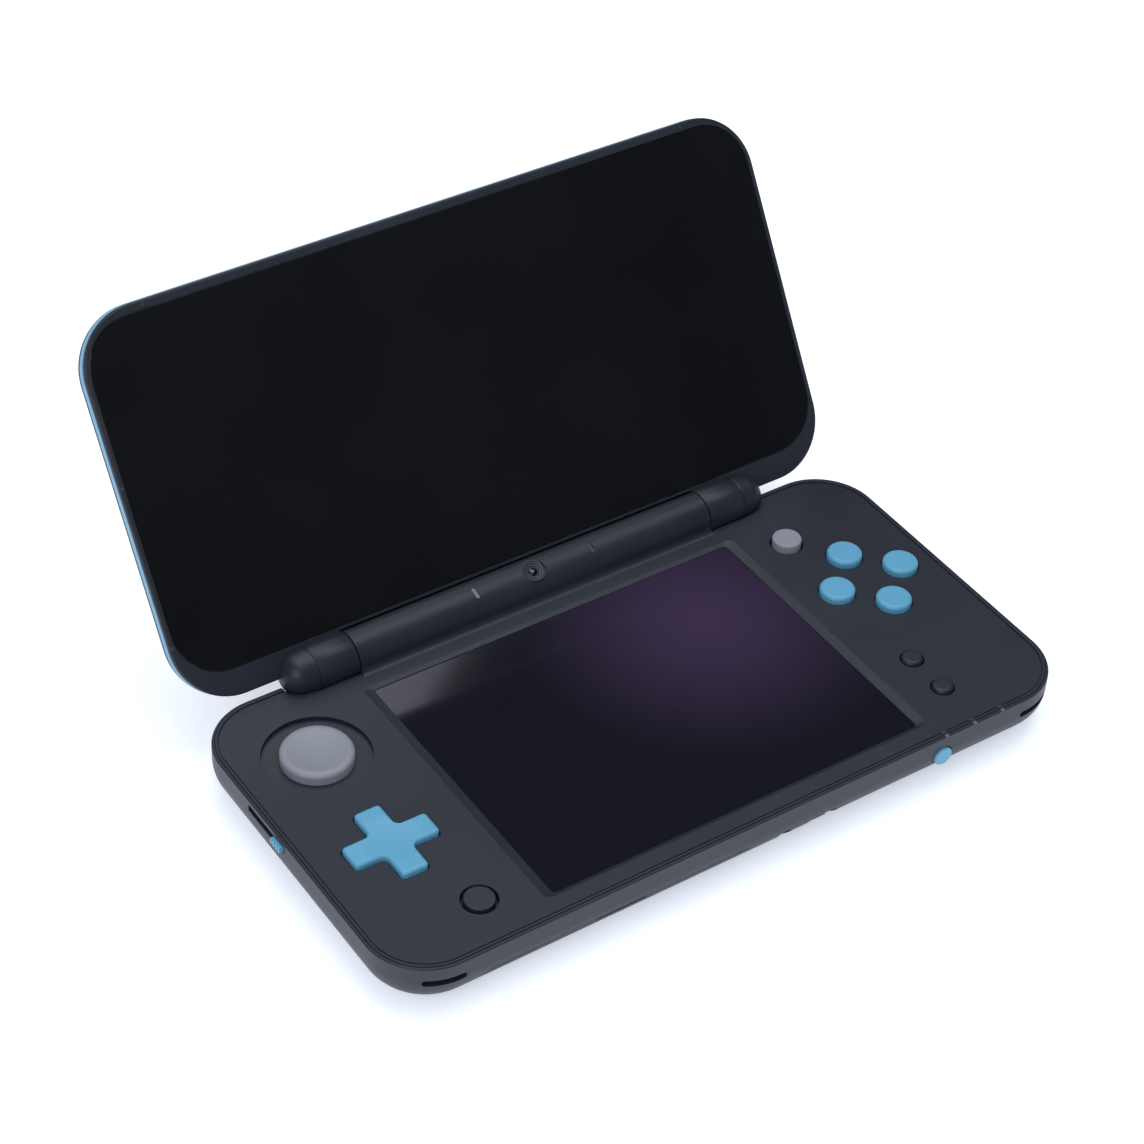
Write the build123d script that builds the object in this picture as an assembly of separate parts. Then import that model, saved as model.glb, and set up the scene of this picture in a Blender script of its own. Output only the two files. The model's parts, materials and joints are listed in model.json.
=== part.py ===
from build123d import *
import os
from math import cos, radians, sin, sqrt

# Clamshell handheld game with two screens. Millimetres, +Z up.
# X runs to the player's right and Y to the rear. The origin is on the shell's flat
# underside, at the centre of the base's footprint, and the rubber feet reach below it.
# The lid stands open at LID_OPEN_DEG.

# ---- base ----
BASE_W = 160.0
BASE_D = 80.6
BASE_H = 11.6            # underside to deck surface
CORNER_R = 13.0
BOTTOM_ROUND = 8.0
FOOT_PROUD = 0.4
FOOT_R = 2.6
FOOT_SEAT = 0.5          # depth of the recess that a foot is glued in
FOOT_SIDE = 16.0         # side edge to foot
FOOT_END = 12.5          # front or rear edge to foot
WALL = 1.7
FLOOR_T = 1.5
RIM_T = 0.6              # lip of the lower shell seen around the deck
RIM_ROUND = 0.35
SEAM = 0.1
DECK_T = 1.6
BEAD_W = 0.6
BEAD_H = 0.2
GROOVE_W = 0.25
GROOVE_DEPTH = 0.18

# ---- lower screen ----
SCREEN_W = 87.0
SCREEN_D = 64.8
SCREEN_FRONT = 5.9       # base front to glass
SCREEN_DROP = 0.55
BEVEL_DEPTH = 0.4
BEVEL_SIDE = 2.15
BEVEL_END = 1.0
PANEL_OVERLAP = 2.6
PANEL_T = 0.8
LOWER_LCD_T = 2.0
CHASSIS_T = 0.5

# ---- controls ----
LEFT_INSET = 17.35       # side edge to circle pad and d-pad centre
RIGHT_INSET = 17.25      # side edge to centre of the face buttons
SMALL_INSET = 25.2       # side edge to c-stick and small buttons
HOME_INSET = 23.8
WELL_R = 11.05
PAD_Y = 19.7
PAD_CAP_R = 7.4
PAD_RISE = 1.6
PAD_TRAVEL = 2.3
PAD_SKIRT_T = 0.6
PAD_DROP = 0.9
PAD_STEM_R = 2.5
PAD_DISH = 0.75
PAD_DISH_R = 24.0
DPAD_Y = -7.9
DPAD_SPAN = 18.5
DPAD_ARM = 5.8
DPAD_RISE = 1.2
DPAD_GAP = 0.32
DPAD_TIP_R = 0.9
DPAD_INNER_R = 1.3
DPAD_EDGE_R = 0.7
DPAD_DISH = 0.3
DPAD_DISH_R = 60.0
DPAD_BALL_R = 0.6
FACE_Y = 5.7
FACE_PITCH = 8.4
FACE_R = 3.8
FACE_RISE = 1.5
HOME_Y = -28.8
HOME_R = 3.1
HOME_RISE = 0.45
SMALL_R = 2.3
SMALL_RISE = 0.8
START_Y = -18.7
SELECT_Y = -28.5
NUB_Y = 23.9
NUB_R = 3.15
NUB_RISE = 1.7
NUB_GAP = 0.45
BUTTON_GAP = 0.25
HOME_GAP = 0.65
FLANGE_W = 0.8
FLANGE_T = 0.8
FLANGE_DROP = 0.2
KEY_BOARD_T = 0.8
KEY_BOARD_Z = 6.0
MEMBRANE_T = 0.5
DOME_H = 0.3

# ---- wall controls ----
POWER_X = 46.0
POWER_Z = 6.6
POWER_R = 2.1
POWER_PROUD = 0.6
VOLUME_Y = 4.45
VOLUME_Z = 9.75
VOLUME_SLOT_LEN = 13.6
VOLUME_SLOT_H = 1.6
VOLUME_KNOB_LEN = 3.4
VOLUME_PROUD = 0.8
VOLUME_TRAVEL = 9.0
VOLUME_PLATE_LEN = 6.8
SHOULDER_Z0 = 4.2
SHOULDER_Z1 = 9.6
SHOULDER_PROUD = 0.2
SHOULDER_T = 2.2
SHOULDER_END_DEG = 41.0
SHOULDER_GAP = 0.45
SHOULDER_PIVOT_SIDE = 12.8
SHOULDER_PIVOT_REAR = 5.1
SHOULDER_PIN_R = 0.7
SHOULDER_HUB_Z0 = 5.0
SHOULDER_HUB_Z1 = 8.0
TRIGGER_W = 6.0
TRIGGER_PROUD = 0.8
TRIGGER_T = 3.0

# ---- front edge ----
DOOR_X0 = -62.5
DOOR_X1 = -0.5
DOOR_CORNER_R = 3.0
DOOR_TOP_DEG = 16.0
DOOR_HINGE_DEG = 70.0
DOOR_T = 1.4
DOOR_GAP = 0.12
DOOR_NOTCH_W = 11.5
DOOR_PIN_R = 0.35
DOOR_PIN_LEN = 1.0
PIN_CLEAR = 0.05
SOCKET_INSET = 7.0       # front edge to the sockets behind the door
CARD_W = 33.6
CARD_T = 3.9
CARD_DEPTH = 30.0
CARD_WALL = 0.2
CARD_X = -40.0
MEMORY_X = -12.0
MEMORY_W = 11.4
MEMORY_T = 1.0
MEMORY_DEPTH = 13.5
MEMORY_WALL = 0.5
JACK_X = 7.6
JACK_Z = 3.5
JACK_SEAT_Z = 1.15       # floor thinned under the headphone socket
JACK_BORE_R = 1.8
JACK_R = 2.3
JACK_LEN = 14.0
STYLUS_X = 17.2
STYLUS_Z = 3.2
STYLUS_R = 2.0
STYLUS_LEN = 70.5
STYLUS_GAP = 0.25
STYLUS_NOTCH_X0 = 13.4   # notch in the front edge where the stylus's end is pulled
STYLUS_NOTCH_X1 = 20.6
STYLUS_NOTCH_TOP = 5.3
STYLUS_NOTCH_DEPTH = 5.0
STYLUS_NOTCH_R = 1.6
SPEAKER_INSET = 13.9      # side edge to speaker centre
SPEAKER_FRONT = 11.5
SPEAKER_W = 10.4
SPEAKER_D = 12.4
SPEAKER_T = 3.2
SPEAKER_SLOT_W = 1.5
SPEAKER_SLOT_Z = 7.8
SPEAKER_SLOT_X0 = 66.0
SPEAKER_SLOT_X1 = 74.4
PORT_W = 10.4            # charging socket in the rear wall
PORT_Z = 2.7
PORT_H = 3.2
LIGHT_XS = (46.6, 53.8, 61.0)
LIGHT_W = 0.8
LIGHT_LEN = 1.5

# ---- case screws ----
SCREW_INSET = 7.5
SCREW_HEAD_R = 1.9
SCREW_HEAD_T = 1.0
SCREW_SEAT_Z = 1.9
SCREW_R = 0.9
POST_R = 2.2
POST_TOP_Z = 6.6

# ---- hinge ----
HINGE_RISE = 1.5         # axis above the deck
HINGE_BEHIND = 0.1       # axis behind the base's rear edge
BARREL_R = 4.8
BARREL_BORE_R = 3.4
BARREL_HALF = 43.2
BARREL_GAP = 0.3
KNUCKLE_LEN = 15.4
KNUCKLE_RING = 9.0       # seam to the start of the end cap's taper
KNUCKLE_TAPER_LEN = 2.4
KNUCKLE_TAPER = 0.35
KNUCKLE_BEND_MAX = 0.92  # end cap's round as a share of its radius
KNUCKLE_CLEAR = 0.3
WEB_LEN = 8.4            # web that joins a knuckle to the lid
CRADLE_T = 1.2
RING_W = 0.2             # fine groove round each knuckle
RING_DEPTH = 0.15
LIP_GAP = 0.35           # lid's rear lip to the barrel
SHAFT_R = 1.5
SHAFT_CLEAR = 0.05
SHAFT_LEN = 16.0
CARTRIDGE_LEN = 9.5
CAMERA_DEG = 70.0        # tilt of the camera above straight ahead
CAMERA_R = 2.6
CAMERA_RECESS = 1.1
CAMERA_LENS_R = 1.3
SIDE_FITTING_X = 14.2
OUTER_CAMERA_X = 17.5
OUTER_CAMERA_DEG = 178.0
OUTER_CAMERA_R = 1.7
OUTER_CAMERA_RECESS = 0.95

# ---- lid ----
LID_OPEN_DEG = 122.5
LID_SIDE_INSET = 0.9     # lid narrower than base, each side
LID_TOP_INSET = 0.2
LID_FOOT = 0.25          # hinge axis to the lid's lower edge
LID_GAP = 1.9            # deck to lid's inner face when closed
LID_T = 6.9
LID_BACK_ROUND = 4.3
LID_FACE_ROUND = 0.5
LID_FRAME_T = 0.9
LID_RIM_T = 1.7
LID_WALL = 1.6
GLASS_SIDE = 1.25        # lid side edge to glass
GLASS_TOP = 1.9
GLASS_BOTTOM = 5.9
GLASS_CORNER_R = 10.5
GLASS_T = 0.7
GLASS_DROP = 0.1
GLASS_FIT = 0.1
UPPER_LCD_W = 112.0
UPPER_LCD_H = 70.0
UPPER_LCD_T = 1.8
BACK_PANEL_T = 0.8

# ---- derived ----
DECK_Z = BASE_H
HALF_W = BASE_W / 2
HALF_D = BASE_D / 2
FOOT_X = HALF_W - FOOT_SIDE
FOOT_Y = HALF_D - FOOT_END
SHOULDER_PIVOT_X = HALF_W - SHOULDER_PIVOT_SIDE
SHOULDER_PIVOT_Y = HALF_D - SHOULDER_PIVOT_REAR
FRONT_Y = -HALF_D
ROUND_Z = BOTTOM_ROUND
ROUND_Y = FRONT_Y + BOTTOM_ROUND
DECK_UNDER_Z = DECK_Z - DECK_T
FLOOR_Z = FLOOR_T
SOCKET_Y = FRONT_Y + SOCKET_INSET
AXIS_Y = HALF_D + HINGE_BEHIND
AXIS_Z = DECK_Z + HINGE_RISE
KNUCKLE_X0 = BARREL_HALF + BARREL_GAP
KNUCKLE_X1 = KNUCKLE_X0 + KNUCKLE_LEN
LEFT_X = -(HALF_W - LEFT_INSET)
FACE_X = HALF_W - RIGHT_INSET
SMALL_X = HALF_W - SMALL_INSET
HOME_X = -(HALF_W - HOME_INSET)
SCREEN_Y = FRONT_Y + SCREEN_FRONT + SCREEN_D / 2
PANEL_Z = DECK_Z - SCREEN_DROP
LCD_Z = PANEL_Z - PANEL_T - LOWER_LCD_T
CHASSIS_Z = LCD_Z - CHASSIS_T - SEAM
KEY_TOP_Z = KEY_BOARD_Z + KEY_BOARD_T
LID_W = BASE_W - 2 * LID_SIDE_INSET
LID_H = BASE_D - LID_TOP_INSET
LID_FACE = HINGE_RISE - LID_GAP      # inner face, along the lid's own normal from the axis
LID_BACK = LID_FACE - LID_T
GLASS_W = LID_W - 2 * GLASS_SIDE
GLASS_H = LID_H - GLASS_TOP - GLASS_BOTTOM
GLASS_MID = GLASS_BOTTOM + GLASS_H / 2


def slab(width, depth, corner, z0, z1, mid_y=0.0):
    """A plate with rounded corners between two heights."""
    return Pos(0, mid_y, z0) * extrude(RectangleRounded(width, depth, corner), z1 - z0)


def block(x0, x1, y0, y1, z0, z1):
    """A box from its two corners."""
    return Pos((x0 + x1) / 2, (y0 + y1) / 2, (z0 + z1) / 2) * Box(x1 - x0, y1 - y0, z1 - z0)


def base_outline(inset, z0, z1):
    """The base's plan shape, drawn in by an inset."""
    return slab(BASE_W - 2 * inset, BASE_D - 2 * inset, CORNER_R - inset, z0, z1)


def disc(x, y, z0, z1, radius):
    """An upright cylinder between two heights."""
    return Pos(x, y, (z0 + z1) / 2) * Cylinder(radius, z1 - z0)


def rod_x(x0, x1, y, z, radius):
    """A cylinder along X."""
    return Pos((x0 + x1) / 2, y, z) * Rot(0, 90, 0) * Cylinder(radius, x1 - x0)


def rod_y(y0, y1, x, z, radius):
    """A cylinder along Y."""
    return Pos(x, (y0 + y1) / 2, z) * Rot(90, 0, 0) * Cylinder(radius, y1 - y0)


def top_edges(shape):
    return shape.faces().sort_by(Axis.Z)[-1].edges()


def bottom_edges(shape):
    return shape.faces().sort_by(Axis.Z)[0].edges()


def knuckle_shape(grow):
    """Right-hand knuckle: a barrel with a tapered, rounded end. grow makes its clearance."""
    radius = BARREL_R + grow
    taper_x = KNUCKLE_X0 + KNUCKLE_RING
    dome_x = taper_x + KNUCKLE_TAPER_LEN
    end_x = KNUCKLE_X1 + grow
    end_r = radius - KNUCKLE_TAPER
    bend = min(end_x - dome_x, KNUCKLE_BEND_MAX * end_r)
    bend_x = end_x - bend
    side = Polyline((KNUCKLE_X0 - grow, 0), (KNUCKLE_X0 - grow, radius),
                    (taper_x - RING_W, radius), (taper_x - RING_W, radius - RING_DEPTH),
                    (taper_x, radius - RING_DEPTH), (taper_x, radius), (bend_x, end_r))
    dome = CenterArc((bend_x, end_r - bend), bend, 0, 90)
    floor = Polyline((end_x, end_r - bend), (end_x, 0), (KNUCKLE_X0 - grow, 0))
    profile = make_face(side + dome + floor)
    return Pos(0, AXIS_Y, AXIS_Z) * revolve(profile, Axis.X)


def knuckle_notches():
    notch = knuckle_shape(KNUCKLE_CLEAR)
    return notch + mirror(notch, Plane.YZ)


def barrel_solid():
    """Barrel with the quarter-round fairing that carries the deck up into it."""
    barrel = rod_x(-BARREL_HALF, BARREL_HALF, AXIS_Y, AXIS_Z, BARREL_R)
    fair_y = AXIS_Y - BARREL_R - HINGE_RISE
    fairing = block(-BARREL_HALF, BARREL_HALF, fair_y, AXIS_Y, DECK_UNDER_Z, AXIS_Z)
    hollow = rod_x(-BARREL_HALF, BARREL_HALF, fair_y, AXIS_Z, HINGE_RISE)
    return barrel + (fairing - hollow)


def barrel_bore():
    return rod_x(-BARREL_HALF, BARREL_HALF, AXIS_Y, AXIS_Z, BARREL_BORE_R)


def on_barrel(shape, x, degrees_up):
    """Place a shape whose +Z is outward on the barrel's surface."""
    return Pos(x, AXIS_Y, AXIS_Z) * Rot(90 - degrees_up, 0, 0) * Pos(0, 0, BARREL_R) * shape


def camera_recess():
    """Round recess over the camera, and the lens's hole through the wall."""
    recess = Cylinder(CAMERA_R, 2 * CAMERA_RECESS)
    return on_barrel(recess + Cylinder(CAMERA_LENS_R + 0.15, 6), 0, CAMERA_DEG)


def fitting_slot(x):
    slot = extrude(SlotOverall(2.6, 1.0, rotation=90), 1.6, both=True)
    return on_barrel(slot, x, CAMERA_DEG)


def outer_camera_recess(x):
    return on_barrel(Cylinder(OUTER_CAMERA_R, 2 * OUTER_CAMERA_RECESS), x, OUTER_CAMERA_DEG)


def screw_spots():
    """Centres of the case screws, in the free places beside the controls."""
    side_x = HALF_W - SCREW_INSET
    return [(-side_x, (PAD_Y + DPAD_Y) / 2 - 2.5), (side_x, FACE_Y + FACE_PITCH + 9.0),
            (-side_x, DPAD_Y - 11.9), (side_x, FACE_Y - FACE_PITCH - 17.1)]


def door_ring(extra):
    """Skin of the front lower rounding that the card door is cut from."""
    outer = rod_x(DOOR_X0 - extra, DOOR_X1 + extra, ROUND_Y, ROUND_Z, BOTTOM_ROUND)
    inner = rod_x(DOOR_X0 - extra, DOOR_X1 + extra, ROUND_Y, ROUND_Z,
                  BOTTOM_ROUND - DOOR_T - extra)
    return outer - inner


def door_axis():
    reach = BOTTOM_ROUND - DOOR_T / 2
    angle = radians(DOOR_HINGE_DEG)
    return ROUND_Y - reach * cos(angle), ROUND_Z - reach * sin(angle)


def door_wedge(extra):
    """Sector, about the rounding's centre, between the door's top edge and its hinge."""
    reach = BOTTOM_ROUND * 2
    extra_deg = extra / BOTTOM_ROUND * 57.3
    low = radians(DOOR_TOP_DEG - extra_deg)
    high = radians(DOOR_HINGE_DEG)
    mid = (low + high) / 2
    corners = [(ROUND_Y, ROUND_Z)]
    for angle in (low, mid, high):
        corners.append((ROUND_Y - reach * cos(angle), ROUND_Z - reach * sin(angle)))
    outline = make_face(Polyline(*corners, close=True))
    length = DOOR_X1 - DOOR_X0 + 2 * extra
    return Pos(DOOR_X0 - extra, 0, 0) * extrude(Plane.YZ * outline, length)


def door_body(extra):
    """The door with its rolled hinge edge; extra gives the opening it sits in."""
    hinge_y, hinge_z = door_axis()
    roll = rod_x(DOOR_X0 - extra, DOOR_X1 + extra, hinge_y, hinge_z, DOOR_T / 2 + extra)
    return (door_ring(extra) & door_wedge(extra) & door_front(extra)) + roll


def door_front(extra):
    """The door's outline from the front, with its two upper corners rounded."""
    top = ROUND_Z - BOTTOM_ROUND * sin(radians(DOOR_TOP_DEG)) + extra
    width = DOOR_X1 - DOOR_X0 + 2 * extra
    height = 30.0
    shape = RectangleRounded(width, height, DOOR_CORNER_R + extra)
    place = Pos((DOOR_X0 + DOOR_X1) / 2, ROUND_Y + 1, top - height / 2)
    return place * Rot(90, 0, 0) * extrude(shape, 2 * BOTTOM_ROUND)


def speaker_slot(side):
    """Round-ended slot through the wall at the front corner."""
    x = side * (SPEAKER_SLOT_X0 + SPEAKER_SLOT_X1) / 2
    shape = SlotOverall(SPEAKER_SLOT_X1 - SPEAKER_SLOT_X0, SPEAKER_SLOT_W)
    return Pos(x, FRONT_Y + 7, SPEAKER_SLOT_Z) * Rot(90, 0, 0) * extrude(shape, 9)


def shoulder_zone(extra, thick, proud):
    """Right rear corner sector that the shoulder button fills."""
    z0 = SHOULDER_Z0 - extra
    z1 = SHOULDER_Z1 + extra
    ring = base_outline(-proud, z0, z1) - base_outline(thick, z0 - 1, z1 + 1)
    centre_x = HALF_W - CORNER_R
    centre_y = HALF_D - CORNER_R
    reach = CORNER_R * 2
    angle = radians(SHOULDER_END_DEG) - extra / CORNER_R
    inner_x = centre_x - extra
    corners = [(inner_x, centre_y), (inner_x, centre_y + reach),
               (centre_x + reach, centre_y + reach),
               (centre_x + reach * cos(angle), centre_y + reach * sin(angle)),
               (centre_x, centre_y)]
    sector = Pos(0, 0, z0) * extrude(make_face(Polyline(*corners, close=True)), z1 - z0)
    return ring & sector


def trigger_zone(extra, y0, y1):
    """Right rear trigger's block, between the knuckle and the shoulder button."""
    x1 = HALF_W - CORNER_R - 3 * SHOULDER_GAP
    return block(x1 - TRIGGER_W - extra, x1 + extra, y0, y1, SHOULDER_Z0 - extra,
                 SHOULDER_Z1 + extra)


def both_sides(shape):
    return shape + mirror(shape, Plane.YZ)


def hinge_cradles():
    """Walls inside the shell that close the knuckle notches."""
    length = KNUCKLE_X1 + KNUCKLE_CLEAR + CRADLE_T - BARREL_HALF
    x0 = BARREL_HALF
    cradle = rod_x(x0, x0 + length, AXIS_Y, AXIS_Z, BARREL_R + KNUCKLE_CLEAR + CRADLE_T)
    keep = block(x0, x0 + length, 0, HALF_D - 0.2, 0, DECK_UNDER_Z)
    return both_sides(cradle & keep)


def shell_outside():
    """The lower shell's outer form, filled in."""
    outer = fillet(bottom_edges(base_outline(0, 0, DECK_Z)), BOTTOM_ROUND)
    return fillet(top_edges(outer), RIM_ROUND)


def lower_shell():
    outer = shell_outside()
    cavity = base_outline(WALL, FLOOR_Z, DECK_Z + 1)
    cavity = fillet(bottom_edges(cavity), BOTTOM_ROUND - WALL)
    seat = base_outline(RIM_T, DECK_UNDER_Z, DECK_Z + 1)
    shell = outer - cavity - seat
    low_barrel = barrel_solid() & block(-BARREL_HALF, BARREL_HALF, 0, HALF_D + 20, 0,
                                        DECK_UNDER_Z)
    shell += low_barrel
    shell -= block(-BARREL_HALF, BARREL_HALF, HALF_D - WALL, HALF_D + 1, DECK_UNDER_Z,
                   DECK_Z + 1)
    for x, y in screw_spots():
        shell += disc(x, y, FLOOR_Z - 0.5, POST_TOP_Z, POST_R)
    shell += hinge_cradles()
    shell -= barrel_bore()
    shell -= knuckle_notches()
    for x, y in screw_spots():
        shell -= disc(x, y, -1, SCREW_SEAT_Z, SCREW_HEAD_R + 0.2)
        shell -= disc(x, y, -1, POST_TOP_Z + 1, SCREW_R + 0.2)
    shell -= door_body(DOOR_GAP)
    hinge_y, hinge_z = door_axis()
    shell -= rod_x(DOOR_X0 - DOOR_PIN_LEN - 0.1, DOOR_X1 + DOOR_PIN_LEN + 0.1, hinge_y, hinge_z,
                   DOOR_PIN_R + PIN_CLEAR)
    shell -= rod_y(FRONT_Y - 1, SOCKET_Y + 1, JACK_X, JACK_Z, JACK_R)
    shell -= jack_body(0.05)
    shell -= rod_y(FRONT_Y - 1, stylus_tube_end(), STYLUS_X, STYLUS_Z, STYLUS_R + STYLUS_GAP)
    shell -= stylus_notch()
    shell -= rod_y(FRONT_Y - 1, FRONT_Y + 5, POWER_X, POWER_Z, POWER_R + BUTTON_GAP)
    shell -= speaker_slot(1) + speaker_slot(-1)
    shell -= block(-HALF_W - 1, -HALF_W + 3, VOLUME_Y - VOLUME_KNOB_LEN / 2 - 0.4,
                   VOLUME_Y - VOLUME_KNOB_LEN / 2 - 0.4 + VOLUME_SLOT_LEN,
                   VOLUME_Z - VOLUME_SLOT_H / 2, VOLUME_Z + VOLUME_SLOT_H / 2)
    shell -= both_sides(shoulder_zone(SHOULDER_GAP, SHOULDER_T + 2, SHOULDER_PROUD + 1))
    shell -= both_sides(trigger_zone(SHOULDER_GAP, HALF_D - 5, HALF_D + 2))
    shell -= port_opening()
    for x in LIGHT_XS:
        shell -= light_pipe(x)
    for x in (-FOOT_X, FOOT_X):
        for y in (-FOOT_Y, FOOT_Y):
            shell -= disc(x, y, -1, FOOT_SEAT, FOOT_R + 0.05)
    for side in (-1, 1):
        shell += disc(side * SHOULDER_PIVOT_X, SHOULDER_PIVOT_Y, 1.4, SHOULDER_HUB_Z1 + 0.4,
                      SHOULDER_PIN_R)
    return shell


def upper_deck():
    inset = RIM_T + SEAM
    deck = base_outline(inset, DECK_UNDER_Z, DECK_Z)
    bead = base_outline(inset, DECK_Z - 0.5, DECK_Z + BEAD_H)
    bead -= base_outline(inset + BEAD_W, DECK_Z - 1, DECK_Z + 1)
    bead = fillet(top_edges(bead), BEAD_H * 0.9)
    deck += bead
    groove = base_outline(inset + BEAD_W, DECK_Z - GROOVE_DEPTH, DECK_Z + 1)
    groove -= base_outline(inset + BEAD_W + GROOVE_W, DECK_Z - 1, DECK_Z + 2)
    deck -= groove
    high = block(-BARREL_HALF, BARREL_HALF, 0, HALF_D + 20, DECK_UNDER_Z, DECK_Z + 30)
    deck += barrel_solid() & high
    deck -= barrel_bore()
    deck -= knuckle_notches()
    deck -= screen_opening()
    deck -= disc(LEFT_X, PAD_Y, DECK_UNDER_Z - 1, DECK_Z + 1, WELL_R)
    deck -= pad_pocket()
    deck -= volume_pocket()
    deck -= dpad_cross(DPAD_GAP, DECK_UNDER_Z - 1, DECK_Z + 1)
    for x, y in face_spots():
        deck -= disc(x, y, DECK_UNDER_Z - 1, DECK_Z + 1, FACE_R + BUTTON_GAP)
    for y in (START_Y, SELECT_Y):
        deck -= disc(SMALL_X, y, DECK_UNDER_Z - 1, DECK_Z + 1, SMALL_R + BUTTON_GAP)
    deck -= disc(HOME_X, HOME_Y, DECK_UNDER_Z - 1, DECK_Z + 1, HOME_R + HOME_GAP)
    deck -= disc(SMALL_X, NUB_Y, DECK_UNDER_Z - 1, DECK_Z + 1, NUB_R + NUB_GAP)
    for x, y in screw_spots():
        boss = disc(x, y, POST_TOP_Z + 0.2, DECK_UNDER_Z + 0.3, POST_R)
        deck += boss - disc(x, y, POST_TOP_Z - 1, DECK_UNDER_Z, SCREW_R)
    deck -= camera_recess() + fitting_slot(-SIDE_FITTING_X) + fitting_slot(SIDE_FITTING_X)
    deck -= outer_camera_recess(-OUTER_CAMERA_X) + outer_camera_recess(OUTER_CAMERA_X)
    for x in LIGHT_XS:
        deck -= light_pipe(x)
    return deck


def screen_opening():
    """Through hole, sloping border above it and the seat for the touch panel below."""
    hole = slab(SCREEN_W, SCREEN_D, 0.8, DECK_UNDER_Z - 1, DECK_Z + 1, SCREEN_Y)
    low = Pos(0, SCREEN_Y, DECK_Z - BEVEL_DEPTH) * RectangleRounded(SCREEN_W, SCREEN_D, 0.8)
    high = Pos(0, SCREEN_Y, DECK_Z + 0.01) * RectangleRounded(
        SCREEN_W + 2 * BEVEL_SIDE, SCREEN_D + 2 * BEVEL_END, 1.6)
    slope = loft(Sketch() + [low, high])
    seat = slab(SCREEN_W + 2 * PANEL_OVERLAP + 0.4, SCREEN_D + 2 * PANEL_OVERLAP + 0.4, 1.5,
                DECK_UNDER_Z - 1, PANEL_Z, SCREEN_Y)
    return hole + slope + seat


def face_spots():
    """Left, top, right and bottom face buttons."""
    return [(FACE_X - FACE_PITCH, FACE_Y), (FACE_X, FACE_Y + FACE_PITCH),
            (FACE_X + FACE_PITCH, FACE_Y), (FACE_X, FACE_Y - FACE_PITCH)]


def pad_skirt_r():
    return WELL_R + PAD_TRAVEL + 0.05


def pad_pocket():
    """Room under the deck for the circle pad's skirt over its whole travel."""
    half = pad_skirt_r() + PAD_TRAVEL + 0.2
    shape = extrude(RectangleRounded(2 * half, 2 * half, half - PAD_TRAVEL), 3.0)
    return Pos(LEFT_X, PAD_Y, DECK_Z - PAD_DROP + 0.06 - 3.0) * shape


def volume_pocket():
    """Room in the deck's edge for the volume slider."""
    y0 = VOLUME_Y - VOLUME_PLATE_LEN / 2 - 0.3
    y1 = VOLUME_Y + VOLUME_TRAVEL + VOLUME_PLATE_LEN / 2 + 0.3
    return block(-HALF_W, -HALF_W + WALL + 1.2, y0, y1, DECK_UNDER_Z - 1,
                 VOLUME_Z + VOLUME_SLOT_H / 2)


def dpad_cross(grow, z0, z1):
    """Cross between two heights, with rounded tips and rounded inner corners."""
    span = DPAD_SPAN + 2 * grow
    arm = DPAD_ARM + 2 * grow
    outline = Rectangle(arm, span) + Rectangle(span, arm)
    tips = [v for v in outline.vertices() if max(abs(v.X), abs(v.Y)) > span / 2 - 0.1]
    outline = fillet(tips, DPAD_TIP_R + grow)
    inner = [v for v in outline.vertices() if max(abs(v.X), abs(v.Y)) < arm / 2 + 0.1]
    outline = fillet(inner, DPAD_INNER_R - grow)
    return Pos(LEFT_X, DPAD_Y, z0) * extrude(outline, z1 - z0)


def domed_button(x, y, radius, rise, edge_round):
    """Button cap with a rounded top edge and a flange that stops it under the deck."""
    cap = disc(x, y, DECK_UNDER_Z - FLANGE_DROP - 0.3, DECK_Z + rise, radius)
    cap = fillet(top_edges(cap), edge_round)
    flange_z = DECK_UNDER_Z - FLANGE_DROP
    flange = disc(x, y, flange_z - FLANGE_T, flange_z, radius + FLANGE_W)
    return cap + flange


def button_membrane(spots, x0, x1, y0, y1, radius):
    """Rubber sheet with one low dome under each button."""
    sheet = block(x0, x1, y0, y1, KEY_TOP_Z, KEY_TOP_Z + MEMBRANE_T)
    sheet = fillet(sheet.edges().filter_by(Axis.Z), 1.5)
    for x, y in spots:
        dome = Pos(x, y, KEY_TOP_Z + MEMBRANE_T) * Cone(radius, radius - 0.8, DOME_H,
                                                        align=(Align.CENTER, Align.CENTER, Align.MIN))
        sheet += dome
    return sheet


def circle_pad_cap():
    cap = disc(LEFT_X, PAD_Y, DECK_Z - PAD_DROP, DECK_Z + PAD_RISE, PAD_CAP_R)
    cap = fillet(top_edges(cap), 1.0)
    dish_z = DECK_Z + PAD_RISE - PAD_DISH + PAD_DISH_R
    dish = Pos(LEFT_X, PAD_Y, dish_z) * Sphere(PAD_DISH_R)
    return cap - dish


def circle_pad_skirt():
    top = DECK_Z - PAD_DROP
    plate = disc(LEFT_X, PAD_Y, top - PAD_SKIRT_T, top, pad_skirt_r())
    stem = disc(LEFT_X, PAD_Y, KEY_TOP_Z + 0.8, top - 0.1, PAD_STEM_R)
    return plate + stem


def circle_pad_slider():
    """Frame that moves left and right and guides the pad's stem front to rear."""
    z0 = KEY_TOP_Z + 1.2
    plate = block(LEFT_X - 9.5, LEFT_X + 9.5, PAD_Y - 8, PAD_Y + 8, z0, z0 + 1.0)
    slot = block(LEFT_X - PAD_STEM_R - 0.08, LEFT_X + PAD_STEM_R + 0.08,
                 PAD_Y - PAD_STEM_R - PAD_TRAVEL - 0.2, PAD_Y + PAD_STEM_R + PAD_TRAVEL + 0.2,
                 z0 - 1, z0 + 2)
    return plate - slot


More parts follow.
